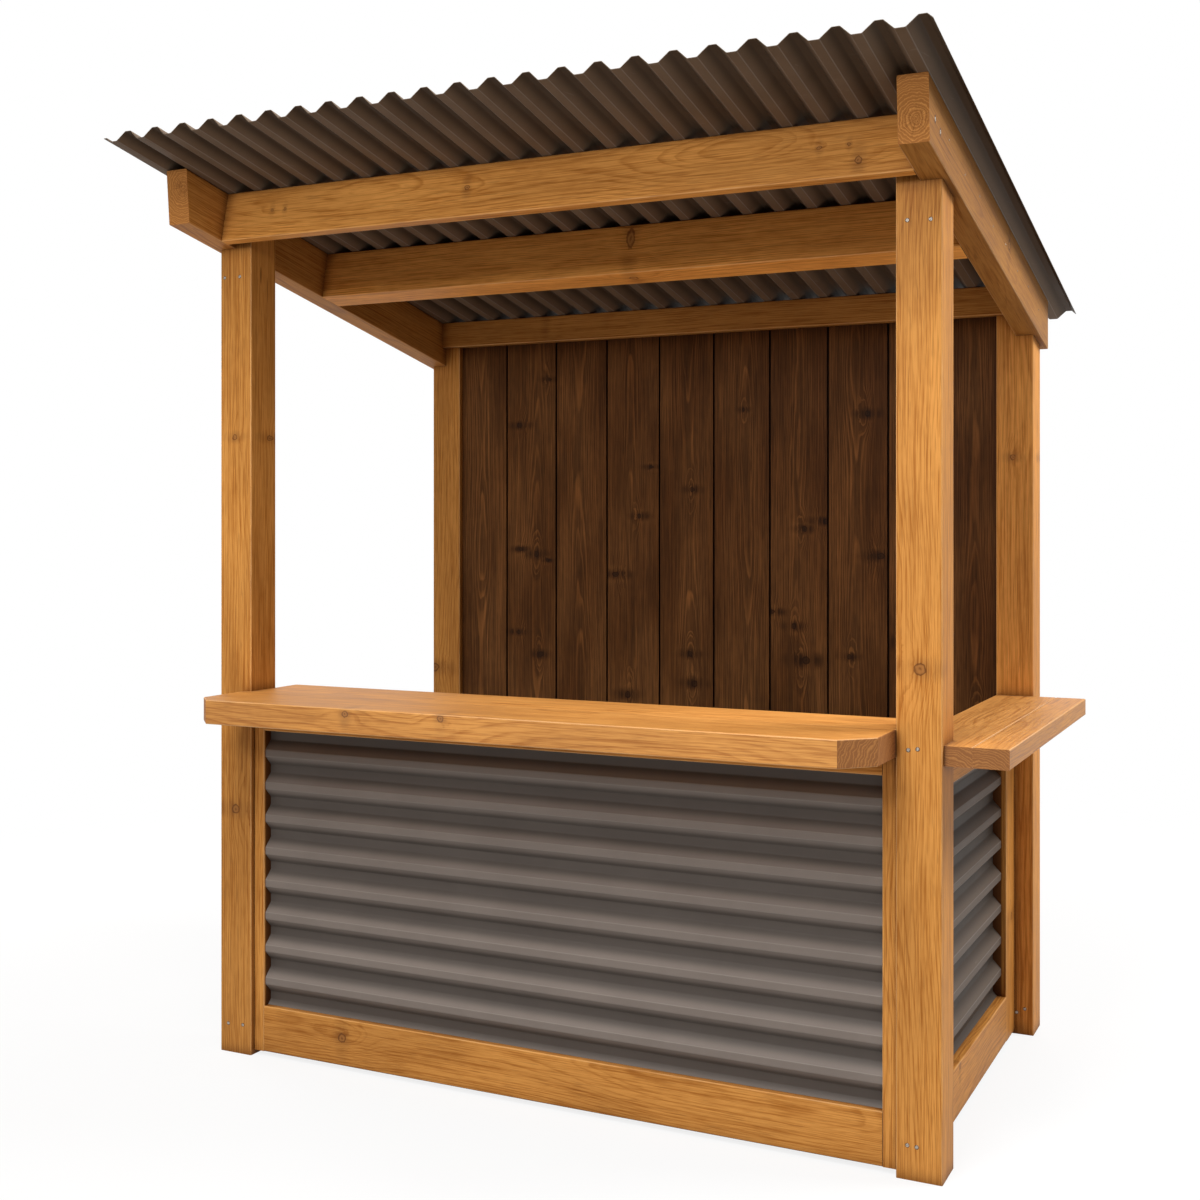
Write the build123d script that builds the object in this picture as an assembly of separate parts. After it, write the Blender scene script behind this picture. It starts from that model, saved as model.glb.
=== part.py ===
from build123d import *
import os
from math import cos, radians, tan

os.makedirs("parts", exist_ok=True)

# Timber sections
post_size = 100
rafter_width = 65
rafter_depth = 131
front_beam_width = 27
middle_beam_width = 80
rear_beam_width = 60
rear_beam_depth = 80
edge_radius = 3

# Plan of the frame, over the outside faces of the posts
stall_width = 1920
stall_depth = 1120

# Roof
roof_slope = 11.6
rafter_seat_height = 2109
rafter_outset = 17
rafter_front_reach = 183
rafter_front_undercut = 10
rafter_rear_reach = 26
post_tongue_clearance = 4
middle_beam_setback = 370
rear_beam_proud = 20

# Profiled sheet, one pattern for the roof and the two panels
sheet_thickness = 1.2
wave_pitch = 84.9
wave_depth = 22
wave_crest = 17
wave_trough = 21
wave_bend_radius = 5
roof_least_lip = 8
roof_left_overhang = 59
roof_right_overhang = 68.6
roof_front_overhang = 172
roof_rear_overhang = 153

# Counters
front_counter_top = 950
front_counter_thickness = 60
front_outer_board_width = 200
front_inner_board_width = 190
front_counter_left_lap = 24
front_left_chamfer = 48
front_right_chamfer = 66
side_counter_top = 920
side_counter_thickness = 43
side_counter_projection = 137
side_outer_board_width = 77
side_counter_front_setback = 12

# Panels below the counters
ground_gap = 12
kick_height = 118
panel_frame_thickness = 45
front_panel_recess = 12
front_stile_width = 33
front_top_rail_height = 42
front_sheet_inset = 5
side_panel_recess = 50
side_front_stile_width = 60
side_rear_stile_width = 110
side_top_rail_height = 85
side_sheet_inset = 14

# Back wall
board_recess = 18
board_thickness = 20
board_count = 10
first_board_share = 0.933
last_board_share = 0.73
board_gap = 6
board_lap = 8
back_rail_height = 70
back_rail_thickness = 38
back_rail_from_ground = 240
back_rail_from_beam = 87

# Clearance between seated pieces that meet on a slope or at a cut end
fit_gap = 0.3

slope_rise = tan(radians(roof_slope))
slope_cosine = cos(radians(roof_slope))
post_back_face = stall_depth - post_size
rafter_housing = rafter_width - rafter_outset
rear_beam_face = post_back_face - rear_beam_proud


def rafter_under(y):
    """Height of the rafters' underside at a distance behind the front posts' faces."""
    return rafter_seat_height - slope_rise * y


def roof_under(y):
    """Height of the plane that carries the sheet."""
    return rafter_under(y) + rafter_depth / slope_cosine


rear_beam_underside = roof_under(rear_beam_face) - rear_beam_depth


def timber(x0, x1, y0, y1, z0, z1, grain=Axis.Z):
    """A planed timber between six faces, its long arrises eased along the grain."""
    block = Pos((x0 + x1) / 2, (y0 + y1) / 2, (z0 + z1) / 2) * Box(x1 - x0, y1 - y0, z1 - z0)
    return fillet(block.edges().filter_by(grain), edge_radius)


def side_profile(points, x0, x1):
    """Extrude an outline given as (y, z) across the stall from x0 to x1."""
    outline = make_face(Polyline(*[(x0, y, z) for y, z in points], close=True))
    return extrude(outline, x1 - x0, dir=(1, 0, 0))


def half_space_above(height_at, x0, x1, y0, y1, top):
    """Everything above a sloping line, used to trim a timber to the roof."""
    points = [(y0, height_at(y0)), (y1, height_at(y1)), (y1, top), (y0, top)]
    return side_profile(points, x0, x1)


def post(x_outer, inward, y0, tongue_top):
    """A post housed for the rafter on its outer side; inward is +1 on the left, -1 on the right."""
    x_inner = x_outer + inward * post_size
    x_housing = x_outer + inward * rafter_housing
    tall = roof_under(y0) + post_size
    y1 = y0 + post_size
    body = timber(min(x_outer, x_inner), max(x_outer, x_inner), y0, y1, 0, tall)
    past = post_size
    x_out = x_outer - inward * past
    housing = half_space_above(lambda y: rafter_under(y) - fit_gap,
                               min(x_out, x_housing), max(x_out, x_housing),
                               y0 - past, y1 + past, tall + past)
    x_in = x_inner + inward * past
    tongue = half_space_above(tongue_top, min(x_out, x_in), max(x_out, x_in),
                              y0 - past, y1 + past, tall + past)
    return body - housing - tongue


def rafter(x0):
    """A sloping timber with plumb ends, undercut a little at the front."""
    y_front = -rafter_front_reach
    y_low = y_front + rafter_front_undercut
    y_rear = stall_depth + rafter_rear_reach
    points = [
        (y_front, roof_under(y_front)),
        (y_rear, roof_under(y_rear)),
        (y_rear, rafter_under(y_rear)),
        (y_low, rafter_under(y_low)),
    ]
    body = side_profile(points, x0, x0 + rafter_width)
    long_edges = body.edges().filter_by(lambda edge: edge.length > stall_depth)
    return fillet(long_edges, edge_radius)


def square_beam(y_front_low, width):
    """A beam set square to the rafters, flush with them above and below."""
    along = width * slope_cosine
    drop = width * slope_rise * slope_cosine
    lean = rafter_depth * slope_rise * slope_cosine
    z_low = rafter_under(y_front_low)
    rise = rafter_depth * slope_cosine
    points = [
        (y_front_low, z_low),
        (y_front_low + along, z_low - drop),
        (y_front_low + along + lean, z_low - drop + rise),
        (y_front_low + lean, z_low + rise),
    ]
    x0 = rafter_housing
    body = side_profile(points, x0, stall_width - x0)
    return fillet(body.edges().filter_by(Axis.X), edge_radius)


def rear_beam():
    """A level beam on the rear posts' tongues, its top planed to the roof."""
    y0 = rear_beam_face
    y1 = y0 + rear_beam_width
    points = [
        (y0, rear_beam_underside),
        (y1, rear_beam_underside),
        (y1, roof_under(y1) - fit_gap),
        (y0, roof_under(y0) - fit_gap),
    ]
    x0 = rafter_housing
    body = side_profile(points, x0, stall_width - x0)
    return fillet(body.edges().filter_by(Axis.X), edge_radius)


def wave_points(waves, lip=0):
    """Corners of the sheet's pattern as (along, up), from one mid slope to another."""
    run = (wave_pitch - wave_crest - wave_trough) / 2
    points = [(0, wave_depth / 2)]
    if lip:
        points.append((lip, wave_depth / 2))
    for wave in range(waves):
        start = lip + wave * wave_pitch + run / 2
        points.append((start, 0))
        points.append((start + wave_trough, 0))
        points.append((start + wave_trough + run, wave_depth))
        points.append((start + wave_trough + run + wave_crest, wave_depth))
    points.append((lip + waves * wave_pitch, wave_depth / 2))
    return points


def profiled_sheet(waves, length, lip=0):
    """A sheet whose waves repeat along X, stand up in Z and run along Y."""
    points = [(along, 0, up) for along, up in wave_points(waves, lip)]
    line = FilletPolyline(*points, radius=wave_bend_radius)
    outline = offset(line, amount=sheet_thickness, side=Side.LEFT, closed=True)
    section = make_face(outline)
    sheet = extrude(section, length, dir=(0, 1, 0))
    base = sheet.bounding_box()
    return Pos(0, -base.min.Y, -base.min.Z) * sheet


def roof_sheet():
    """The roof covering, laid on the rafters with its waves running down the slope."""
    width = roof_left_overhang + stall_width + roof_right_overhang
    waves = int((width - roof_least_lip) / wave_pitch)
    y_front = -rafter_front_reach - roof_front_overhang
    y_rear = stall_depth + rafter_rear_reach + roof_rear_overhang
    length = (y_rear - y_front) / slope_cosine
    sheet = profiled_sheet(waves, length, width - waves * wave_pitch)
    return Pos(-roof_left_overhang, y_front, roof_under(y_front) + fit_gap) * Rot(-roof_slope, 0, 0) * sheet


def standing_sheet(length, height, place):
    """Waves stacked upward, crests toward -Y, lengths along +X, corner at the place given."""
    waves = int(height / wave_pitch) + 1
    points = [(0, wave_depth - up, along) for along, up in wave_points(waves)]
    line = FilletPolyline(*points, radius=wave_bend_radius)
    outline = offset(line, amount=sheet_thickness, side=Side.LEFT, closed=True)
    sheet = extrude(make_face(outline), length, dir=(1, 0, 0))
    base = sheet.bounding_box()
    sheet = Pos(-base.min.X, -base.min.Y, 0) * sheet
    trim = Pos(length / 2, wave_depth, height / 2) * Box(2 * length, 4 * wave_depth, height)
    return place * (sheet & trim)


def front_panel_sheet():
    x0 = post_size + front_stile_width + fit_gap
    x1 = stall_width - x0
    z0 = ground_gap + kick_height + fit_gap
    z1 = front_counter_top - front_counter_thickness - front_top_rail_height - fit_gap
    y_outer = front_panel_recess + front_sheet_inset
    return standing_sheet(x1 - x0, z1 - z0, Pos(x0, y_outer, z0))


def side_panel_sheet():
    y0 = post_size + side_front_stile_width + fit_gap
    y1 = post_back_face - side_rear_stile_width - fit_gap
    z0 = ground_gap + kick_height + fit_gap
    z1 = side_counter_top - side_counter_thickness - side_top_rail_height - fit_gap
    x_outer = stall_width - side_panel_recess - side_sheet_inset
    return standing_sheet(y1 - y0, z1 - z0, Pos(x_outer, y0, z0) * Rot(0, 0, 90))


def front_outer_board():
    """The serving board in front of the posts, its ends cut off at the corners."""
    x0 = post_size - front_counter_left_lap
    x1 = stall_width - post_size
    y0 = -front_outer_board_width
    z0 = front_counter_top - front_counter_thickness
    outline = make_face(Polyline(
        (x0, 0, z0),
        (x0, y0 + front_left_chamfer, z0),
        (x0 + front_left_chamfer, y0, z0),
        (x1 - front_right_chamfer, y0, z0),
        (x1, y0 + front_right_chamfer, z0),
        (x1, 0, z0),
        close=True,
    ))
    board = extrude(outline, front_counter_thickness, dir=(0, 0, 1))
    outer_edges = board.edges().filter_by(lambda edge: edge.center().Y < -edge_radius)
    level_edges = outer_edges.filter_by(lambda edge: abs(edge.bounding_box().size.Z) < fit_gap)
    return fillet(level_edges, edge_radius)


def front_inner_board():
    """The board between the posts, behind the outer one."""
    return timber(post_size, stall_width - post_size, 0, front_inner_board_width,
                  front_counter_top - front_counter_thickness, front_counter_top, Axis.X)


def side_boards():
    """The two boards of the side counter; the inner one is notched round the front post."""
    z0 = side_counter_top - side_counter_thickness
    x_out = stall_width + side_counter_projection
    x_joint = x_out - side_outer_board_width
    y0 = side_counter_front_setback
    outer = timber(x_joint, x_out, y0, post_back_face, z0, side_counter_top, Axis.Y)
    inner = timber(stall_width - post_size, x_joint, y0, post_back_face, z0, side_counter_top, Axis.Y)
    notch = Pos(stall_width - post_size, 0, z0) * Box(2 * post_size, 2 * post_size, 4 * side_counter_thickness)
    return inner - notch, outer


def board_edges():
    """Left limits of the back boards' cover, from post to post."""
    full_boards = board_count - 2
    width = stall_width - 2 * post_size
    cover = width / (full_boards + first_board_share + last_board_share)
    first_edge = post_size + first_board_share * cover
    inner_edges = [first_edge + number * cover for number in range(full_boards + 1)]
    return [post_size, *inner_edges, stall_width - post_size]


def upright(x0, x1, y0, y1):
    """A plain strip of the back wall, from its foot to the rear beam."""
    z0 = ground_gap
    z1 = rear_beam_underside
    return Pos((x0 + x1) / 2, (y0 + y1) / 2, (z0 + z1) / 2) * Box(x1 - x0, y1 - y0, z1 - z0)


def back_board(x0, x1, first, last):
    """A shiplap board: a lip in front on its left, a lap behind the next board's lip on its right."""
    y0 = post_back_face + board_recess
    y_mid = y0 + board_thickness / 2
    y1 = y0 + board_thickness
    left = x0 if first else x0 + board_gap / 2
    right = x1 if last else x1 - board_gap / 2
    body_left = left if first else left + board_lap + fit_gap
    board = upright(body_left, right, y0, y1)
    if not first:
        board += upright(left, body_left, y0, y_mid)
    if not last:
        board += upright(right, right + board_gap + board_lap, y_mid + fit_gap, y1)
    return board


pieces = {}

# Frame
x_right = stall_width
pieces["post_front_left"] = post(0, 1, 0, lambda y: roof_under(y) - post_tongue_clearance)
pieces["post_front_right"] = post(x_right, -1, 0, lambda y: roof_under(y) - post_tongue_clearance)
pieces["post_back_left"] = post(0, 1, post_back_face, lambda y: rear_beam_underside)
pieces["post_back_right"] = post(x_right, -1, post_back_face, lambda y: rear_beam_underside)
pieces["rafter_left"] = rafter(-rafter_outset)
pieces["rafter_right"] = rafter(x_right + rafter_outset - rafter_width)

front_beam_lean = (rafter_depth * slope_rise + front_beam_width) * slope_cosine
pieces["beam_front"] = square_beam(-front_beam_lean - fit_gap, front_beam_width)
pieces["beam_middle"] = square_beam(middle_beam_setback, middle_beam_width)
pieces["beam_rear"] = rear_beam()
pieces["roof_sheet"] = roof_sheet()

# Counters
pieces["counter_front_outer_board"] = front_outer_board()
pieces["counter_front_inner_board"] = front_inner_board()
pieces["counter_side_inner_board"], pieces["counter_side_outer_board"] = side_boards()

# Front panel
front_y0 = front_panel_recess
front_y1 = front_panel_recess + panel_frame_thickness
front_underside = front_counter_top - front_counter_thickness
stile_x = post_size + front_stile_width
kick_top = ground_gap + kick_height
pieces["front_stile_left"] = timber(post_size, stile_x, front_y0, front_y1, ground_gap, front_underside)
pieces["front_stile_right"] = timber(x_right - stile_x, x_right - post_size, front_y0, front_y1,
                                     ground_gap, front_underside)
pieces["front_kick_board"] = timber(stile_x, x_right - stile_x, front_y0, front_y1,
                                    ground_gap, kick_top, Axis.X)
pieces["front_top_rail"] = timber(stile_x, x_right - stile_x, front_y0, front_y1,
                                  front_underside - front_top_rail_height, front_underside, Axis.X)
pieces["front_sheet"] = front_panel_sheet()

# Side panel
side_x1 = x_right - side_panel_recess
side_x0 = side_x1 - panel_frame_thickness
side_underside = side_counter_top - side_counter_thickness
side_y0 = post_size + side_front_stile_width
side_y1 = post_back_face - side_rear_stile_width
pieces["side_stile_front"] = timber(side_x0, side_x1, post_size, side_y0, ground_gap, side_underside)
pieces["side_stile_rear"] = timber(side_x0, side_x1, side_y1, post_back_face, ground_gap, side_underside)
pieces["side_kick_board"] = timber(side_x0, side_x1, side_y0, side_y1, ground_gap, kick_top, Axis.Y)
pieces["side_top_rail"] = timber(side_x0, side_x1, side_y0, side_y1,
                                 side_underside - side_top_rail_height, side_underside, Axis.Y)
pieces["side_sheet"] = side_panel_sheet()

# Back wall
edges = board_edges()
for number, (left, right) in enumerate(zip(edges, edges[1:]), start=1):
    pieces[f"back_board_{number:02d}"] = back_board(left, right, number == 1, number == len(edges) - 1)
rail_y0 = post_back_face + board_recess + board_thickness
back_rail_high = rear_beam_underside - back_rail_from_beam - back_rail_height
back_rail_middle = (back_rail_from_ground + back_rail_high) / 2
rail_heights = {"low": back_rail_from_ground, "middle": back_rail_middle, "high": back_rail_high}
for name, height in rail_heights.items():
    pieces[f"back_rail_{name}"] = timber(post_size, x_right - post_size, rail_y0,
                                         rail_y0 + back_rail_thickness, height,
                                         height + back_rail_height, Axis.X)

# The part's origin is the middle of the footprint of its bounding box
boxes = [piece.bounding_box() for piece in pieces.values()]
x_middle = (min(box.min.X for box in boxes) + max(box.max.X for box in boxes)) / 2
y_middle = (min(box.min.Y for box in boxes) + max(box.max.Y for box in boxes)) / 2
for name, piece in pieces.items():
    export_step(Pos(-x_middle, -y_middle, 0) * piece, f"parts/{name}.step")
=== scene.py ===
import random
from math import atan2, cos, pi, radians, sin

import bmesh
import bpy
from mathutils import Matrix, Vector

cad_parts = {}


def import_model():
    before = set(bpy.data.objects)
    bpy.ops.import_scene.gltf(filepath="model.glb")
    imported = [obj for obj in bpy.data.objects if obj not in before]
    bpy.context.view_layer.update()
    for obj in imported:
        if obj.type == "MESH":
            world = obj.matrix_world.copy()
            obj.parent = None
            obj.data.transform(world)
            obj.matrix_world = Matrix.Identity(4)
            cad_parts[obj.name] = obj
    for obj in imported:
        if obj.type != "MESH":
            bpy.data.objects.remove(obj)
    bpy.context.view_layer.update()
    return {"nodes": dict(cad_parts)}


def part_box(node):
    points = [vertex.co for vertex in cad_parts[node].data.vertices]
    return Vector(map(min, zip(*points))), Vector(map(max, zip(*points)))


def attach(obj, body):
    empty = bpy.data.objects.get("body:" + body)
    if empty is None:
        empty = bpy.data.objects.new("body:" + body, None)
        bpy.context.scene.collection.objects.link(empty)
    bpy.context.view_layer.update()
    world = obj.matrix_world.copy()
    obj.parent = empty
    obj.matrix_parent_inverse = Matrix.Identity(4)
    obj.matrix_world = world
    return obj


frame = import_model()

nodes = frame["nodes"]

# Camera, fitted to the photograph's edges
camera_place = (1.676, -3.576, 1.382)
camera_turn = radians(25.18)
focal_length = 44.86
sensor_width = 36
camera_shift = (-0.0319, -0.0618)

# Directions of the grain, and one direction across it
roof_slope = radians(11.6)
UP = (Vector((0, 0, 1)), Vector((1, 0, 0)))
ALONG_FRONT = (Vector((1, 0, 0)), Vector((0, 0, 1)))
ALONG_SIDE = (Vector((0, 1, 0)), Vector((1, 0, 0)))
DOWN_ROOF = (Vector((0, cos(roof_slope), -sin(roof_slope))), Vector((1, 0, 0)))
ACROSS_ROOF = (Vector((1, 0, 0)), Vector((0, sin(roof_slope), cos(roof_slope))))


# Shader helpers

class Shader:
    """Adds nodes to one tree. A socket given as an input is linked, anything else is set."""

    def __init__(self, tree):
        self.tree = tree

    def node(self, kind, inputs=None, **settings):
        node = self.tree.nodes.new(kind)
        for name, value in settings.items():
            setattr(node, name, value)
        for key, value in (inputs or {}).items():
            socket = node.inputs[key]
            if isinstance(value, bpy.types.NodeSocket):
                self.tree.links.new(value, socket)
            else:
                socket.default_value = value
        return node

    def math(self, operation, *values, clamp=False):
        inputs = dict(enumerate(values))
        return self.node("ShaderNodeMath", inputs, operation=operation, use_clamp=clamp).outputs[0]

    def centred(self, value, amount):
        """A value from 0 to 1, turned to swing round zero."""
        return self.math("MULTIPLY", self.math("SUBTRACT", value, 0.5), amount)

    def vector(self, operation, *values):
        """A vector result, or the number for a length or dot product."""
        inputs = dict(enumerate(values))
        node = self.node("ShaderNodeVectorMath", inputs, operation=operation)
        return node.outputs[1 if operation in ("LENGTH", "DOT_PRODUCT") else 0]

    def scaled(self, vector, x, y, z):
        return self.vector("MULTIPLY", vector, (x, y, z))

    def join(self, x=0.0, y=0.0, z=0.0):
        """A vector from three numbers."""
        return self.node("ShaderNodeCombineXYZ", {"X": x, "Y": y, "Z": z}).outputs[0]

    def split(self, vector):
        """The three numbers of a vector."""
        return self.node("ShaderNodeSeparateXYZ", {0: vector}).outputs

    def local(self, vector, place, turn):
        """A vector as it reads in a space that stands at a place and is turned."""
        inputs = {"Vector": vector, "Location": place, "Rotation": turn}
        return self.node("ShaderNodeMapping", inputs, vector_type="TEXTURE").outputs[0]

    def noise(self, vector, scale, detail=2.0, roughness=0.5):
        inputs = {"Vector": vector, "Scale": scale, "Detail": detail, "Roughness": roughness}
        return self.node("ShaderNodeTexNoise", inputs).outputs[0]

    def jitter(self, vector, scale, amount):
        """A smooth random vector, up to half the amount each way."""
        inputs = {"Vector": vector, "Scale": scale, "Detail": 1.0}
        color = self.node("ShaderNodeTexNoise", inputs).outputs["Color"]
        return self.vector("MULTIPLY", self.vector("SUBTRACT", color, (0.5, 0.5, 0.5)), amount)

    def step(self, value, low, high, at_low=0.0, at_high=1.0):
        """A smooth change from at_low to at_high while the value goes from low to high."""
        inputs = {"Value": value, "From Min": low, "From Max": high, "To Min": at_low, "To Max": at_high}
        return self.node("ShaderNodeMapRange", inputs, interpolation_type="SMOOTHSTEP").outputs[0]

    def mix(self, factor, first, second, blend="MIX"):
        inputs = {0: factor, 6: first, 7: second}
        node = self.node("ShaderNodeMix", inputs, data_type="RGBA", blend_type=blend)
        return node.outputs[2]

    def tinted(self, color, tint):
        return self.mix(1.0, color, tint, "MULTIPLY")

    def ramp(self, value, stops):
        """A grey ramp through (place, level) stops."""
        node = self.node("ShaderNodeValToRGB", {0: value})
        elements = node.color_ramp.elements
        while len(elements) < len(stops):
            elements.new(0.5)
        for element, (place, level) in zip(elements, stops):
            element.position = place
            element.color = (level, level, level, 1)
        return node.outputs[0]


def shader_group(name, inputs, outputs):
    """A node group with typed sockets: the group, its shader and its input sockets."""
    group = bpy.data.node_groups.new(name, "ShaderNodeTree")
    for socket, kind in inputs.items():
        group.interface.new_socket(socket, in_out="INPUT", socket_type="NodeSocket" + kind)
    for socket, kind in outputs.items():
        group.interface.new_socket(socket, in_out="OUTPUT", socket_type="NodeSocket" + kind)
    shader = Shader(group)
    given = shader.node("NodeGroupInput").outputs
    return group, shader, given


def new_material(name):
    material = bpy.data.materials.new(name)
    material.use_nodes = True
    material.node_tree.nodes.clear()
    return material, Shader(material.node_tree)


def finish_material(shader, surface):
    shader.node("ShaderNodeOutputMaterial", {"Surface": surface})


def finish_surface(shader, color, roughness, relief, settings):
    """A solid surface, with its bump given as (height, strength, distance in metres)."""
    height, strength, distance = relief
    bump = shader.node("ShaderNodeBump", {"Height": height, "Strength": strength, "Distance": distance})
    surface = shader.node("ShaderNodeBsdfPrincipled", {
        "Base Color": color,
        "Roughness": roughness,
        "Normal": bump.outputs[0],
        **settings,
    })
    finish_material(shader, surface.outputs[0])


def dress(node, material):
    """Make this the only material of a CAD node."""
    nodes[node].data.materials.clear()
    nodes[node].data.materials.append(material)


# Wood

# Nearness to a knot is counted in knot radii, and this stands for no knot at all
no_knot = 9.0
knot_waver = (0.008, 0.008, 0.008)

# Darkness across one ring: pale early wood, dark late wood and the sharp edge before the next ring
ring_profile = [(0, 0.0), (0.5, 0.05), (0.78, 0.8), (0.88, 1.0), (1, 0.0)]
# Paler arrises: bare wood where the stain wears off, and a painted highlight
bare_wood_and_highlight = (0.88, 0.56, 0.27, 1)

# Painted shade: joints and corners darkened by ambient occlusion
occlusion_shade_reach = 0.045
occlusion_shade_tint = (0.26, 0.19, 0.14, 1)


def branch_group():
    """One branch that runs out from the pith: it bulges the rings, and leaves a knot where it surfaces."""
    inputs = {"Vector": "Vector", "Height": "Float", "Angle": "Float", "Radius": "Float",
              "Swell": "Float", "Near": "Float", "Halo": "Float"}
    outputs = {"Swell": "Float", "Near": "Float", "Halo": "Float"}
    group, shader, given = shader_group("branch", inputs, outputs)
    radius = given["Radius"]
    local = shader.local(given["Vector"], shader.join(z=given["Height"]), shader.join(z=given["Angle"]))
    outward = shader.split(local)[0]
    this_side = shader.step(outward, 0.0, 0.01)
    far_side = shader.step(outward, 0.0, 0.01, no_knot, 0.0)

    def distance(across, along):
        length = shader.vector("LENGTH", shader.scaled(local, 0, across, along))
        return shader.math("DIVIDE", length, radius)

    bulge = shader.math("MULTIPLY", this_side, shader.step(distance(1, 0.33), 0.5, 4.5, 1.1, 0))
    swell = shader.math("MULTIPLY", bulge, radius)
    near = shader.math("ADD", distance(1, 0.85), far_side)
    halo = shader.math("MULTIPLY", this_side, shader.step(distance(0.38, 0.9), 0.6, 3.2, 1, 0))
    shader.node("NodeGroupOutput", {
        "Swell": shader.math("ADD", given["Swell"], swell),
        "Near": shader.math("MINIMUM", given["Near"], near),
        "Halo": shader.math("MAXIMUM", given["Halo"], halo),
    })
    return group


def with_knots(shader, given, color, bands):
    """Knots: a stained patch, a heart with a dark eye, and a dark rim."""
    near = given["Near"]
    halo = shader.math("MULTIPLY", given["Halo"], shader.step(bands, 0.35, 0.65, 0.25, 1.0))
    halo = shader.math("MULTIPLY", halo, shader.math("MULTIPLY_ADD", given["Cloud"], 1.1, 0.08))
    color = shader.mix(halo, color, given["Knot"])
    eye = shader.step(shader.math("PINGPONG", near, 0.5), 0, 0.5, 0.05, 0.6)
    heart = shader.mix(eye, given["Knot"], given["Sawn"])
    color = shader.mix(shader.step(near, 0.8, 1.15, 0.85, 0.0), color, heart)
    rim = shader.step(shader.math("ABSOLUTE", shader.math("SUBTRACT", near, 0.95)), 0.0, 0.22, 1, 0)
    rim = shader.math("MULTIPLY", rim, shader.step(bands, 0.42, 0.6, 0.5, 0.95))
    return shader.mix(rim, color, given["Knot"])


def drying_checks(shader, given, across):
    """Fine cracks that run out from the pith."""
    spread = shader.split(across)
    turn = shader.math("ARCTAN2", spread[1], spread[0])
    circle = shader.join(shader.math("SINE", turn), shader.math("COSINE", turn), given["Seed"])
    rays = shader.math("ABSOLUTE", shader.centred(shader.noise(circle, 9, 3.0, 0.7), 1.0))
    by_pith = shader.step(shader.vector("LENGTH", across), 0.004, 0.045, 1, 0)
    return shader.math("MULTIPLY", shader.step(rays, 0.0, 0.03, 1, 0), by_pith)


def sawn_end(shader, given, late, pores, checks):
    """The sawn end of the grain takes more stain between the rings, and shows pores and checks."""
    stained = shader.tinted(given["Sawn"], (0.55, 0.47, 0.42, 1))
    dense = shader.math("MULTIPLY", late, shader.step(pores, 0.3, 0.7, 0.55, 1.0))
    sawn = shader.mix(dense, stained, given["Sawn"])
    return shader.mix(checks, sawn, shader.tinted(sawn, (0.25, 0.2, 0.16, 1)))


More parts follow.
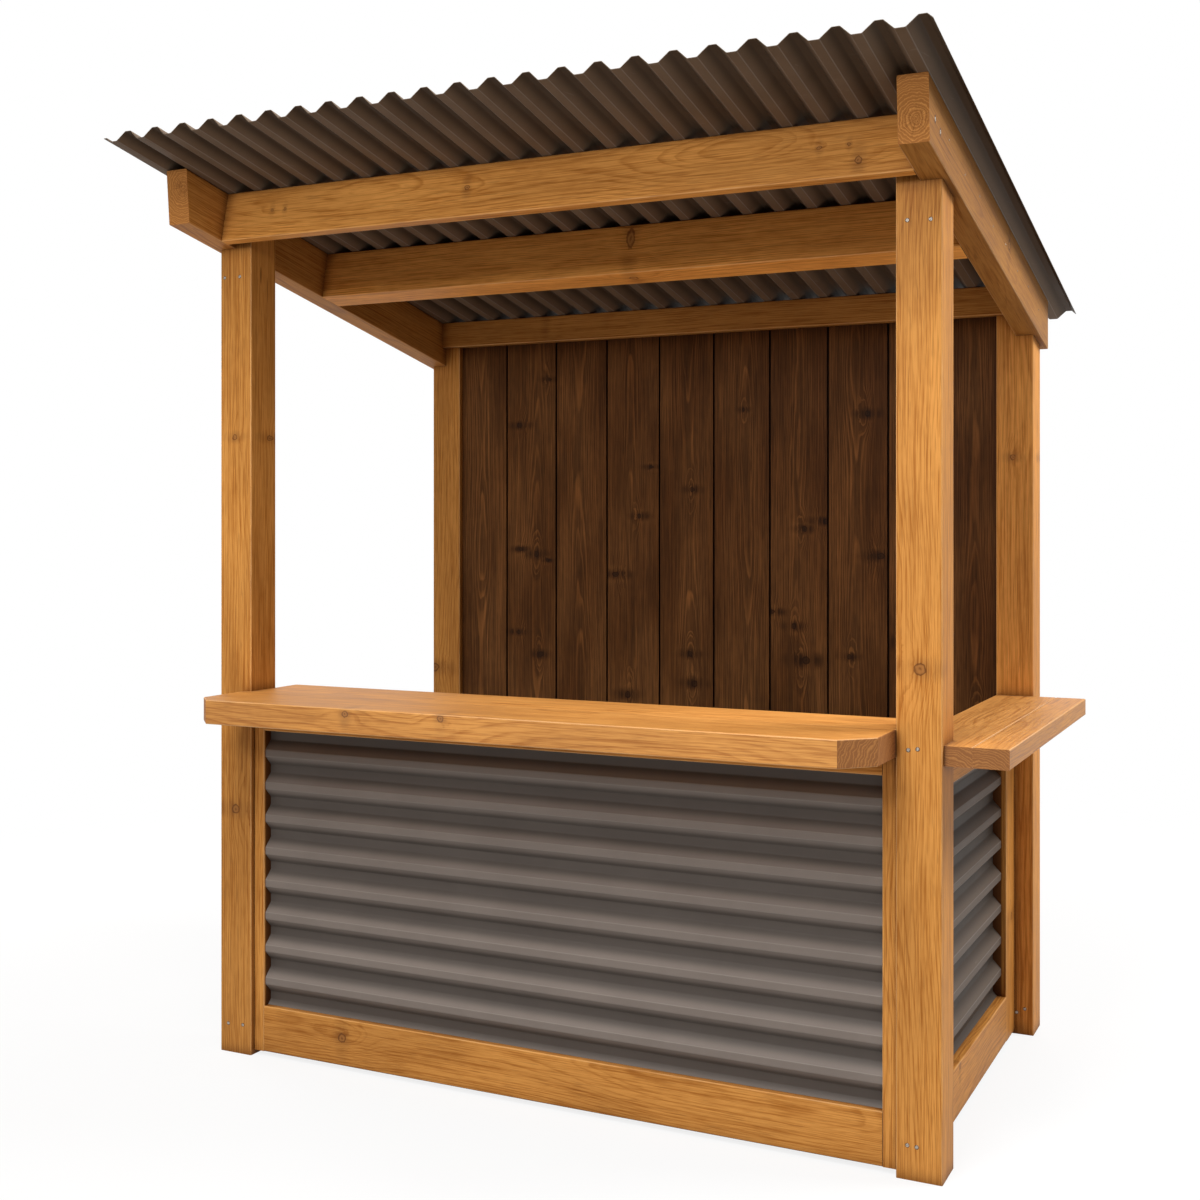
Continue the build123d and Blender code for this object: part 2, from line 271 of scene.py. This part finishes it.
def softwood_group():
    """Growth rings round a pith on the local Z axis, cut by whatever faces the timber has."""
    inputs = {"Vector": "Vector", "Normal": "Vector", "Seed": "Float", "Spacing": "Float",
              "Swell": "Float", "Near": "Float", "Halo": "Float",
              "Early": "Color", "Late": "Color", "Knot": "Color", "Sawn": "Color",
              "Rings": "Float", "Wander": "Float", "Fibre": "Float", "Base": "Float", "Cloud": "Float"}
    outputs = {"Color": "Color", "Roughness": "Float", "Height": "Float"}
    group, shader, given = shader_group("softwood", inputs, outputs)
    point = given["Vector"]
    seed = shader.join(given["Seed"], given["Seed"])

    def streaks(across, along, detail=2.0, roughness=0.5):
        stretched = shader.vector("ADD", shader.scaled(point, across, across, along), seed)
        return shader.noise(stretched, 1.0, detail, roughness)

    # The pith wanders along the timber, so flat-sawn faces show long arches
    level = shader.vector("ADD", shader.scaled(point, 0, 0, 1.4), seed)
    wander = shader.jitter(level, 1.0, shader.join(given["Wander"], given["Wander"]))
    across = shader.scaled(shader.vector("ADD", point, wander), 1, 1, 0)
    radius = shader.vector("LENGTH", across)

    # Ring count, with uneven ring widths and a slight waver, buckled where the end is sawn
    normal = shader.split(given["Normal"])
    end = shader.step(shader.math("ABSOLUTE", normal[2]), 0.45, 0.62)
    grown = shader.math("SUBTRACT", radius, given["Swell"])
    buckled = shader.centred(shader.noise(shader.vector("ADD", point, seed), 60, 3.0), 0.014)
    grown = shader.math("ADD", grown, shader.math("MULTIPLY", buckled, end))
    grown = shader.math("ADD", grown, shader.centred(streaks(22, 2.6), 0.006))
    grown = shader.math("ADD", grown, shader.centred(streaks(75, 9), 0.0015))
    rings = shader.math("DIVIDE", grown, given["Spacing"])
    uneven = shader.math("MULTIPLY", shader.noise(shader.join(rings, given["Seed"]), 0.45), 2.4)
    rings = shader.math("ADD", rings, uneven)
    late = shader.ramp(shader.math("FRACT", rings), ring_profile)
    strength = shader.step(streaks(26, 3.0), 0.3, 0.7, 0.35, 1.0)
    strength = shader.math("MAXIMUM", strength, shader.step(given["Near"], 2, 6, 1.2, 0))

    # Marks along the grain, from broad to fine
    clouds = streaks(9, 2.4)
    bands = streaks(95, 3.0, 3.0, 0.6)
    ripple = streaks(80, 30, 1.0)
    dashes = shader.step(streaks(260, 15, 1.0), 0.60, 0.70)
    lines = shader.step(streaks(310, 4.5, 1.0), 0.50, 0.64)
    fibres = streaks(420, 9, 2.0, 0.7)
    pores = shader.noise(point, 600, 2.0, 0.7)

    # Colour of the faces along the grain
    figure = shader.math("MULTIPLY", shader.math("MULTIPLY", late, strength), given["Rings"])
    texture = shader.math("ADD", shader.centred(bands, 0.9), shader.centred(fibres, 1.6))
    texture = shader.math("ADD", texture, shader.centred(ripple, 0.35))
    texture = shader.math("ADD", texture, shader.math("MULTIPLY", lines, 0.30))
    figure = shader.math("ADD", figure, shader.math("MULTIPLY", texture, given["Fibre"]))
    figure = shader.math("ADD", figure, given["Base"], clamp=True)
    color = shader.mix(figure, given["Early"], given["Late"])
    color = shader.mix(shader.math("MULTIPLY", dashes, 0.22), color, given["Knot"])
    darker = shader.math("MULTIPLY", shader.step(clouds, 0.3, 0.7, 1, 0), given["Cloud"])
    color = shader.mix(darker, color, shader.tinted(color, (0.45, 0.38, 0.32, 1)))
    color = with_knots(shader, given, color, bands)

    # Colour of the sawn ends
    checks = shader.math("MULTIPLY", drying_checks(shader, given, across), end)
    color = shader.mix(end, color, sawn_end(shader, given, late, pores, checks))

    # The eased arrises are rubbed paler, and carry a painted highlight
    arris = shader.math("ABSOLUTE", shader.math("MULTIPLY", normal[0], normal[1]))
    patchy = shader.step(fibres, 0.35, 0.65, 0.12, 0.4)
    rubbed_and_highlight = shader.math("MULTIPLY", shader.step(arris, 0.06, 0.4), patchy)
    color = shader.mix(rubbed_and_highlight, color, bare_wood_and_highlight)

    roughness = shader.math("ADD", shader.math("MULTIPLY", figure, -0.08), 0.56)
    roughness = shader.math("ADD", roughness, shader.math("MULTIPLY", end, 0.2))
    roughness = shader.math("ADD", roughness, shader.centred(clouds, 0.12))
    height = shader.math("SUBTRACT", fibres, shader.math("MULTIPLY", dashes, 0.4))
    height = shader.math("ADD", height, shader.math("MULTIPLY", pores, end))
    shader.node("NodeGroupOutput", {"Color": color, "Roughness": roughness, "Height": height})
    return group


branch = branch_group()
softwood = softwood_group()


def grain_frame(grain, pith):
    """Matrix from the timber's own space (Z along the grain, origin on the pith) to the row frame."""
    along, side = grain
    third = along.cross(side)
    turn = Matrix((side, third, along)).transposed()
    return Matrix.Translation(pith) @ turn.to_4x4()


def log_branches(to_timber, knots, pith_offset, timber_length, whorls, dice):
    """Height along the pith, angle round it and radius of each branch: first those under the knots
    that show, then one for each whorl that the dice place."""
    branches = []
    for x, y, z, radius in knots:
        local = to_timber @ Vector((x, y, z))
        branches.append((local.z, atan2(local.y, local.x), radius))
    toward_middle = atan2(-pith_offset[1], -pith_offset[0])
    for number in range(whorls):
        height = timber_length * ((number + dice.uniform(0.2, 0.8)) / whorls - 0.5)
        angle = toward_middle + dice.uniform(-0.7, 0.7)
        branches.append((height, angle, dice.uniform(0.005, 0.011)))
    return branches


def shade(shader, coordinates, inward, start, end):
    """Where a face lies out of the light, between two levels along the inward direction."""
    depth = shader.vector("DOT_PRODUCT", coordinates, inward)
    entered = shader.step(depth, start + 0.001, start + 0.006, 0.0, 0.9)
    return shader.math("MULTIPLY", entered, shader.step(depth, end - 0.002, end - 0.0005, 1.0, 0.0))


def drying_split(shader, coordinates, place, width, length):
    """A dark split along an upright timber."""
    offset = shader.vector("SUBTRACT", coordinates, place)
    reach = shader.vector("LENGTH", shader.scaled(offset, 2 / width, 2 / width, 2 / length))
    return shader.step(reach, 0.6, 1.0, 0.9, 0.0)


def painted_corner_shade(shader):
    """How far a point lies in a joint or a corner, by ambient occlusion, for the painted shade there."""
    inputs = {"Distance": occlusion_shade_reach}
    open_share = shader.node("ShaderNodeAmbientOcclusion", inputs, samples=6).outputs["AO"]
    return shader.step(open_share, 0.25, 0.95, 1.0, 0.0)


def wood(node, grain, pith_offset, seed, colors, figure, gloss, knots=(), whorls=0, shaded=None, splits=()):
    """Give a CAD node its own log: where its pith runs, and the branches that leave it.
    Knots are (x, y, z, radius), shaded is (inward, start, end) and splits are (place, width, length)."""
    low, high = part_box(node)
    pith = grain_frame(grain, (0, 0, 0)) @ Vector((*pith_offset, 0)) + (low + high) / 2
    to_row = grain_frame(grain, pith)
    timber_length = abs((high - low).dot(grain[0]))
    dice = random.Random(seed)
    branches = log_branches(to_row.inverted(), knots, pith_offset, timber_length, whorls, dice)

    material, shader = new_material(node)
    coordinates = shader.node("ShaderNodeTexCoord").outputs["Object"]
    turn = to_row.to_euler()
    point = shader.local(coordinates, pith, turn)
    normal = shader.local(shader.node("ShaderNodeNewGeometry").outputs["Normal"], (0, 0, 0), turn)
    rippled = shader.vector("ADD", point, shader.jitter(point, 90, knot_waver))
    carried = {"Swell": 0.0, "Near": no_knot, "Halo": 0.0}
    for height, angle, radius in branches:
        inputs = {"Vector": rippled, "Height": height, "Angle": angle, "Radius": radius, **carried}
        link = shader.node("ShaderNodeGroup", inputs, node_tree=branch)
        carried = {name: link.outputs[name] for name in carried}
    inputs = {"Vector": point, "Normal": normal, "Seed": dice.uniform(0, 50), **colors, **figure, **carried}
    look = shader.node("ShaderNodeGroup", inputs, node_tree=softwood).outputs

    color = look["Color"]
    if shaded is not None:
        color = shader.mix(shade(shader, coordinates, *shaded), color, colors["Knot"])
    for split in splits:
        color = shader.mix(drying_split(shader, coordinates, *split), color, colors["Knot"])
    # Painted shade: joints and corners darkened by ambient occlusion
    color = shader.mix(painted_corner_shade(shader), color, shader.tinted(color, occlusion_shade_tint))
    relief = (look["Height"], 0.35, 0.0006)
    finish_surface(shader, color, look["Roughness"], relief, {"Specular IOR Level": gloss})
    dress(node, material)


# Honey-stained posts, rafters, beams, counters and panel frames
honey = {
    "Early": (0.70, 0.317, 0.074, 1),
    "Late": (0.41, 0.145, 0.021, 1),
    "Knot": (0.15, 0.052, 0.013, 1),
    "Sawn": (0.50, 0.215, 0.056, 1),
}
rafter_sawn = (0.62, 0.28, 0.075, 1)
honey_figure = {"Rings": 0.62, "Spacing": 0.0055, "Wander": 0.07, "Fibre": 1.3, "Base": 0.13, "Cloud": 0.32}
counter_gloss = 0.42
timber_gloss = 0.12

# How far light reaches along the stiles' inner faces, outside the sheet
front_lit_depth = 0.003
side_lit_depth = 0.010

# Splits in the face of the left post, below its head
post_splits = {
    "post_front_left": [((-0.899, -0.435, 2.042), 0.006, 0.058), ((-0.899, -0.409, 2.005), 0.003, 0.082)],
}
front_beam_knots = [
    (-0.799, -0.52, 2.189, 0.004), (-0.758, -0.52, 2.190, 0.0035), (-0.217, -0.52, 2.192, 0.006),
    (0.664, -0.52, 2.192, 0.004), (0.731, -0.52, 2.192, 0.003), (0.753, -0.52, 2.155, 0.007),
]

# Grain direction, offset of the pith across the grain, seed, and the knots that the front shows
timbers = {
    "post_front_left": (UP, (0.08, 0.07), 3,
                        [(-0.949, -0.474, 0.639, 0.010), (-0.952, -0.474, 1.615, 0.006)]),
    "post_front_right": (UP, (-0.08, 0.07), 7, [(0.873, -0.474, 1.080, 0.0105)]),
    "post_back_left": (UP, (0.08, 0.06), 11, []),
    "post_back_right": (UP, (0.07, 0.08), 13, [(0.866, 0.546, 1.569, 0.006)]),
    "rafter_left": (DOWN_ROOF, (0.004, -0.012), 17, []),
    "rafter_right": (DOWN_ROOF, (-0.008, 0.022), 19, []),
    "beam_front": (ACROSS_ROOF, (0.03, -0.10), 23, front_beam_knots),
    "beam_middle": (ACROSS_ROOF, (0.10, 0.07), 29, []),
    "beam_rear": (ALONG_FRONT, (0.09, 0.05), 31, []),
    "counter_front_outer_board": (ALONG_FRONT, (-0.05, -0.08), 37,
                                  [(-0.455, -0.674, 0.937, 0.007), (-0.189, -0.674, 0.941, 0.007)]),
    "counter_front_inner_board": (ALONG_FRONT, (-0.09, 0.04), 41, []),
    "counter_side_inner_board": (ALONG_SIDE, (0.02, 0.07), 43, []),
    "counter_side_outer_board": (ALONG_SIDE, (-0.02, 0.07), 47, []),
    "front_stile_left": (UP, (0.05, 0.08), 53, []),
    "front_stile_right": (UP, (-0.05, 0.08), 59, []),
    "front_kick_board": (ALONG_FRONT, (0.05, -0.09), 61, [(-0.619, -0.462, 0.082, 0.010)]),
    "front_top_rail": (ALONG_FRONT, (0.03, 0.08), 67, []),
    "side_stile_front": (UP, (-0.08, 0.04), 71, []),
    "side_stile_rear": (UP, (-0.08, -0.03), 73, []),
    "side_kick_board": (ALONG_SIDE, (-0.08, 0.05), 79, []),
    "side_top_rail": (ALONG_SIDE, (-0.08, 0.03), 83, []),
    "back_rail_low": (ALONG_FRONT, (0.03, -0.08), 89, []),
    "back_rail_middle": (ALONG_FRONT, (0.02, -0.08), 97, []),
    "back_rail_high": (ALONG_FRONT, (-0.02, -0.09), 101, []),
}

# How much paler or darker a timber is than the rest: partly its own tone, partly painted light and shade, as
# the middle beam made paler in its shade and the rafters and counters darker where lamps light them strongly
tone_and_shade_table = {
    "post_front_left": 0.90, "post_back_left": 0.88, "post_back_right": 1.16,
    "rafter_left": 0.80, "rafter_right": 0.57,
    "beam_front": 1.05, "beam_middle": 1.27, "beam_rear": 0.78,
    "counter_front_outer_board": 0.94, "counter_front_inner_board": 1.05,
    "counter_side_inner_board": 0.87, "counter_side_outer_board": 0.87,
    "front_kick_board": 0.95,
}


def stile_shade(name):
    """The inner face of a stile lies out of the light behind the edge of its sheet."""
    low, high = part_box(name)
    if name.startswith("front_stile"):
        return (0, 1, 0), low.y + front_lit_depth, high.y
    if name.startswith("side_stile"):
        return (-1, 0, 0), side_lit_depth - high.x, -low.x
    return None


for name, (grain, pith_offset, seed, knots) in timbers.items():
    timber_tone_and_shade = tone_and_shade_table.get(name, 1.0)
    colors = {part: (*(timber_tone_and_shade * level for level in color[:3]), 1) for part, color in honey.items()}
    if name.startswith("rafter"):
        colors["Sawn"] = rafter_sawn
    counter = name.startswith("counter")
    gloss = counter_gloss if counter else timber_gloss
    whorls = 0 if knots or counter else 1
    wood(name, grain, pith_offset, seed, colors, honey_figure, gloss, knots, whorls,
         stile_shade(name), post_splits.get(name, ()))

# Dark-stained boards of the back wall
walnut = {
    "Early": (0.082, 0.035, 0.012, 1),
    "Late": (0.28, 0.112, 0.033, 1),
    "Knot": (0.014, 0.006, 0.003, 1),
    "Sawn": (0.05, 0.021, 0.008, 1),
}
walnut_figure = {"Rings": 0.8, "Spacing": 0.0030, "Wander": 0.03, "Fibre": 0.68, "Base": 0.10, "Cloud": 0.75}
board_gloss = 0.06
board_count = 10
board_front = 0.564
board_lap = 0.01

# Knots on the wall's front as (x, z, radius of the dark patch), and the knot's share of that patch
knot_share = 0.75
board_knots = [
    (-0.266, 1.412, 0.008), (-0.224, 1.562, 0.005), (-0.091, 1.491, 0.009), (-0.096, 0.996, 0.009),
    (-0.610, 0.977, 0.009), (-0.586, 1.274, 0.005), (-0.578, 1.843, 0.007), (0.264, 1.373, 0.008),
    (0.332, 1.396, 0.008), (0.452, 1.702, 0.009), (0.492, 1.296, 0.010), (0.399, 1.006, 0.008),
    (0.231, 1.089, 0.009), (0.162, 1.130, 0.007), (0.074, 1.726, 0.006), (-0.347, 1.233, 0.009),
    (-0.682, 1.308, 0.007), (-0.685, 1.701, 0.008), (-0.690, 1.045, 0.007),
]
for number in range(1, board_count + 1):
    name = f"back_board_{number:02d}"
    low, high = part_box(name)
    on_board = [knot for knot in board_knots if low.x < knot[0] < high.x - board_lap]
    knots = [(x, board_front, z, knot_share * radius) for x, z, radius in on_board]
    dice = random.Random(number)
    pith_offset = (dice.uniform(-0.02, 0.015), dice.uniform(0.035, 0.06))
    wood(name, UP, pith_offset, 200 + number, walnut, walnut_figure, board_gloss, knots, 1,
         ((0, 1, 0), low.y, high.y))


# Coated sheet

# Grey-brown coat, as the two ends of its mottle. The side and roof sheets carry the same coat with painted
# shade: darker, and on the roof browner as painted light thrown back by the wood
panel_coat = ((0.195, 0.163, 0.143, 1), (0.215, 0.181, 0.159, 1))
side_shaded_coat = ((0.115, 0.088, 0.070, 1), (0.128, 0.098, 0.078, 1))
roof_shaded_coat = ((0.125, 0.082, 0.052, 1), (0.150, 0.102, 0.067, 1))
scuffed_coat = (0.4, 0.37, 0.34, 1)
# Painted highlight along the raised bends
bend_highlight_coat = (0.34, 0.31, 0.28, 1)
# Painted shade in the valleys: the share of the coat's colour left at their bottom
valley_shade_share = 0.48


def sheet_material(node, outward, base, worn, gloss):
    """Satin coated steel, with painted shade in the valleys of either side and painted highlights along the
    raised bends.
    """
    material, shader = new_material(node)
    levels = [vertex.co.dot(outward) for vertex in nodes[node].data.vertices]
    low, high = min(levels), max(levels)
    point = shader.node("ShaderNodeTexCoord").outputs["Object"]
    level = shader.vector("DOT_PRODUCT", point, outward)
    normal = shader.node("ShaderNodeNewGeometry").outputs["Normal"]
    toward = shader.vector("DOT_PRODUCT", normal, outward)

    mottle = shader.noise(point, 5, 4.0, 0.6)
    grain = shader.noise(point, 900, 2.0, 0.6)
    scuffs = shader.step(shader.noise(shader.scaled(point, 9, 9, 160), 1.0, 3.0, 0.7), 0.66, 0.74)
    color = shader.mix(shader.step(mottle, 0.3, 0.7), base, worn)
    color = shader.mix(shader.math("MULTIPLY", scuffs, 0.08), color, scuffed_coat)

    # Painted shade: the valleys of either side darkened by their depth
    outer_side = shader.step(toward, -0.05, 0.05)
    outer_valley_shade = shader.step(level, low + 0.003, high - 0.003, valley_shade_share, 1.0)
    inner_valley_shade = shader.step(level, low + 0.003, high - 0.003, 1.0, valley_shade_share)
    color = shader.tinted(color, shader.mix(outer_side, inner_valley_shade, outer_valley_shade))

    # Painted highlight: pale lines along the raised bends of either side
    tilt = shader.math("ABSOLUTE", toward)
    bend = shader.math("MULTIPLY", shader.step(tilt, 0.77, 0.84), shader.step(tilt, 0.92, 0.98, 1, 0))
    raised_bend_highlight = shader.mix(outer_side, shader.step(level, low + 0.002, low + 0.008, 0.3, 0),
                        shader.step(level, high - 0.008, high - 0.002, 0, 0.3))
    color = shader.mix(shader.math("MULTIPLY", bend, raised_bend_highlight), color, bend_highlight_coat)

    roughness = shader.step(mottle, 0.3, 0.7, 0.42, 0.5)
    roughness = shader.math("ADD", roughness, shader.math("MULTIPLY", grain, 0.08))
    finish_surface(shader, color, roughness, (grain, 0.04, 0.0003), {"Specular IOR Level": gloss})
    dress(node, material)


sheet_material("front_sheet", Vector((0, -1, 0)), *panel_coat, gloss=0.12)
sheet_material("side_sheet", Vector((1, 0, 0)), *side_shaded_coat, gloss=0.08)
sheet_material("roof_sheet", ACROSS_ROOF[1], *roof_shaded_coat, gloss=0.06)


# Screws

post_screw_radius = 0.0039
rafter_screw_radius = 0.0045
rafter_socket_stretch = 1.7
nail_radius = 0.0022
head_sink = -0.002
head_segments = 24
recess_width = 0.45


def steel_material():
    """Dulled fastener steel, mottled with a darker stain."""
    material, shader = new_material("fastener_steel")
    point = shader.node("ShaderNodeTexCoord").outputs["Object"]
    stain = shader.step(shader.noise(point, 600, 3.0, 0.6), 0.35, 0.65)
    color = shader.mix(stain, (0.06, 0.04, 0.025, 1), (0.62, 0.56, 0.48, 1))
    roughness = shader.step(stain, 0, 1, 0.65, 0.45)
    finish_surface(shader, color, roughness, (stain, 0.3, 0.0001), {"Metallic": 0.8})
    return material


def socket_stain_and_shade_material():
    """The crushed and stained wood round a sunk head, dark also as painted shade for its recess."""
    material, shader = new_material("stained_shaded_socket")
    point = shader.node("ShaderNodeTexCoord").outputs["Object"]
    stain = shader.noise(point, 400, 3.0, 0.6)
    color = shader.mix(stain, (0.035, 0.014, 0.005, 1), (0.16, 0.06, 0.018, 1))
    roughness = shader.step(stain, 0, 1, 0.6, 0.8)
    finish_surface(shader, color, roughness, (stain, 0.4, 0.0003), {})
    return material


def lathe(mesh, profile, place, material_index, star=None):
    """A closed turned form on a place matrix, its axis along local Z, from (radius, height) rings.
    The ring whose number is star is drawn in between four arms, as a cross recess."""
    rings = []
    for number, (radius, height) in enumerate(profile):
        ring = []
        for step in range(head_segments):
            angle = 2 * pi * step / head_segments
            reach = radius
            if star == number and step % (head_segments // 4) != 0:
                reach = radius * recess_width
            ring.append(mesh.verts.new(place @ Vector((reach * cos(angle), reach * sin(angle), height))))
        rings.append(ring)
    faces = [mesh.faces.new(list(reversed(rings[0]))), mesh.faces.new(rings[-1])]
    for lower, upper in zip(rings, rings[1:]):
        for step in range(head_segments):
            after = (step + 1) % head_segments
            faces.append(mesh.faces.new((lower[step], lower[after], upper[after], upper[step])))
    for face in faces:
        face.material_index = material_index


def facing(place, outward, up):
    """A matrix that sets local Z along the outward direction."""
    outward = Vector(outward).normalized()
    side = Vector(up).cross(outward).normalized()
    turn = Matrix((side, outward.cross(side), outward)).transposed()
    return Matrix.Translation(place) @ turn.to_4x4()


def fasteners(name, places, outward, up, radius, stretch=1.0):
    """Sunk cross-recessed heads on one face, each in a socket dark with stain and painted shade, which can be
    stretched.
    """
    rim = [(radius * 1.25, head_sink), (radius * 1.25, 0.0001), (radius * 1.12, 0.00025), (radius, 0.0001)]
    head = [(radius, head_sink), (radius * 0.98, 0.0003), (radius * 0.86, 0.0006), (radius * 0.5, 0.0007),
            (radius * 0.42, 0.00035)]
    mesh = bmesh.new()
    for place in places:
        head_place = facing(place, outward, up)
        socket_place = head_place @ Matrix.Diagonal((1, stretch, 1, 1))
        lathe(mesh, rim, socket_place, 1)
        lathe(mesh, head, head_place, 0, star=4)
    data = bpy.data.meshes.new(name)
    mesh.normal_update()
    mesh.to_mesh(data)
    mesh.free()
    data.materials.append(steel)
    data.materials.append(socket)
    piece = bpy.data.objects.new(name, data)
    bpy.context.scene.collection.objects.link(piece)
    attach(piece, "root")


steel = steel_material()
socket = socket_stain_and_shade_material()
front_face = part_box("post_front_left")[0].y
back_post_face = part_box("post_back_right")[0].y
post_screw_places = [
    (-0.986, front_face, 2.035), (-0.936, front_face, 2.035),
    (-0.974, front_face, 0.074), (-0.926, front_face, 0.076),
    (0.846, front_face, 2.028), (0.896, front_face, 2.026),
    (0.848, front_face, 0.908), (0.868, front_face, 0.911),
    (0.846, front_face, 0.073), (0.866, front_face, 0.072),
    (0.898, back_post_face, 0.070), (0.876, back_post_face, 0.058),
]
fasteners("post_screws", post_screw_places, (0, -1, 0), (0, 0, 1), post_screw_radius)

# Right rafter: two screws in long sockets near its end, then a row of small nails down its middle
rafter_low, rafter_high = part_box("rafter_right")
rafter_face = rafter_high.x
slope_up = ACROSS_ROOF[1]
rafter_screw_places = [(rafter_face, -0.604, 2.199), (rafter_face, -0.562, 2.183)]
fasteners("rafter_screws", rafter_screw_places, (1, 0, 0), slope_up, rafter_screw_radius,
          rafter_socket_stretch)

nail_count = 8
first_nail_y = -0.487
nail_pitch = 0.145
nail_stagger = 0.006


def rafter_point(y, above_middle):
    middle = (rafter_low + rafter_high) / 2
    return (rafter_face, y, middle.z - (y - middle.y) * sin(roof_slope) / cos(roof_slope) + above_middle)


rafter_nail_places = [
    rafter_point(first_nail_y + number * nail_pitch, nail_stagger * (-1) ** number)
    for number in range(nail_count)
]
fasteners("rafter_nails", rafter_nail_places, (1, 0, 0), slope_up, nail_radius)


# Floor, background and light

floor_reach = 30
floor_level = -0.0005

# Distance from the middle at which the floor's shadow starts to fade, and at which it is gone
fade_start = 1.4
fade_end = 4
white = (1, 1, 1, 1)
warm_fill = (1.0, 0.88, 0.74, 1)


def seen_directly(shader):
    """1 for what the camera sees by itself, in a reflection or through glass, and 0 for stray light."""
    rays = shader.node("ShaderNodeLightPath").outputs
    seen = shader.math("MAXIMUM", rays["Is Camera Ray"], rays["Is Glossy Ray"])
    return shader.math("MAXIMUM", seen, rays["Is Transmission Ray"])


def floor():
    """A pale floor that reads as white to the camera and keeps a soft shadow."""
    data = bpy.data.meshes.new("floor")
    signs = ((-1, -1), (1, -1), (1, 1), (-1, 1))
    corners = [(x * floor_reach, y * floor_reach, floor_level) for x, y in signs]
    data.from_pydata(corners, [], [(0, 1, 2, 3)])
    piece = bpy.data.objects.new("floor", data)
    bpy.context.scene.collection.objects.link(piece)
    material, shader = new_material("floor_pale")
    away = shader.vector("LENGTH", shader.node("ShaderNodeTexCoord").outputs["Object"])
    matte = shader.node("ShaderNodeBsdfDiffuse", {"Color": (0.5, 0.5, 0.5, 1)})
    glow = shader.step(away, fade_start, fade_end, 1.15, 1)
    bright = shader.node("ShaderNodeEmission", {"Color": white, "Strength": glow})
    share = shader.math("MULTIPLY", seen_directly(shader), shader.step(away, fade_start, fade_end, 0.72, 1))
    surface = shader.node("ShaderNodeMixShader", {0: share, 1: matte.outputs[0], 2: bright.outputs[0]})
    finish_material(shader, surface.outputs[0])
    data.materials.append(material)


def world(strength):
    """White to the camera and to reflections, a soft even light for the rest."""
    scene_world = bpy.data.worlds.new("studio")
    scene_world.use_nodes = True
    shader = Shader(scene_world.node_tree)
    shader.tree.nodes.clear()
    seen = seen_directly(shader)
    level = shader.step(seen, 0, 1, strength, 1.0)
    tint = shader.mix(seen, warm_fill, white)
    background = shader.node("ShaderNodeBackground", {"Color": tint, "Strength": level})
    shader.node("ShaderNodeOutputWorld", {"Surface": background.outputs[0]})
    bpy.context.scene.world = scene_world


def softbox(name, place, aim, size, power, shines=True):
    """A soft rectangular lamp turned to its aim. One that doesn't shine leaves no reflection."""
    light = bpy.data.lights.new(name, "AREA")
    light.shape = "RECTANGLE"
    light.size, light.size_y = size
    light.energy = power
    lamp = bpy.data.objects.new(name, light)
    lamp.location = place
    lamp.rotation_euler = (Vector(aim) - Vector(place)).to_track_quat("-Z", "Y").to_euler()
    lamp.visible_glossy = shines
    bpy.context.scene.collection.objects.link(lamp)


floor()
world(strength=0.25)
softbox("key", (0.2, -3.3, 4.9), (0.1, -0.2, 1.0), (1.8, 2.2), 128)
softbox("top", (0.2, -2.1, 4.6), (0.1, -0.5, 1.0), (2.0, 1.0), 60)
softbox("front", (0.1, -4.4, 3.0), (0.1, 0, 1.7), (2.2, 0.8), 64)
softbox("side", (3.5, 1.0, 4.9), (0.9, 0.1, 1.2), (1.6, 1.6), 225)
softbox("back", (0.2, 4.6, 3.2), (0, 0.5, 1.0), (2.2, 2.2), 90, shines=False)
softbox("left", (-4.2, 0.8, 1.5), (-0.9, 0, 1.1), (1.8, 1.8), 60, shines=False)


# Camera

camera_data = bpy.data.cameras.new("camera")
camera_data.lens = focal_length
camera_data.sensor_width = sensor_width
camera_data.sensor_fit = "HORIZONTAL"
camera_data.shift_x, camera_data.shift_y = camera_shift
camera = bpy.data.objects.new("camera", camera_data)
camera.location = camera_place
camera.rotation_euler = (pi / 2, 0, camera_turn)
bpy.context.scene.collection.objects.link(camera)
bpy.context.scene.camera = camera
bpy.context.scene.view_settings.view_transform = "Standard"
